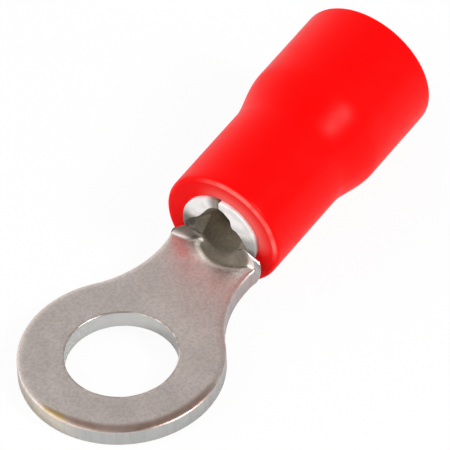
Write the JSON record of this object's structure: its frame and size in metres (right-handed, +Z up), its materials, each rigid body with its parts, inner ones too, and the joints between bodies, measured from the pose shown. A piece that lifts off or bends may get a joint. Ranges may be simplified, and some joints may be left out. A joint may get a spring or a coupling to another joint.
{
  "type": "ring terminal",
  "caption": "Insulated crimp ring terminal: a flat tinned copper ring tongue for a stud, a rolled wire barrel and a red plastic sleeve with a wide entry.",
  "frame": {"origin": "centre of the stud hole, on the underside of the ring tongue", "axes": "+X from the ring towards the wire entry, +Z up out of the tongue's top face (the screw head's side), +Y to the left when looking along +X"},
  "size_m": [0.0211, 0.0078, 0.0058],
  "materials": {
    "tinned_copper": "satin tin plating, rolled grain, over copper sheet",
    "red_pvc": "smooth moulded soft plastic with a dull shine"
  },
  "bodies": {
    "root": {"ring_terminal_body": "tinned_copper", "insulating_sleeve": "red_pvc"}
  },
  "joints": []
}
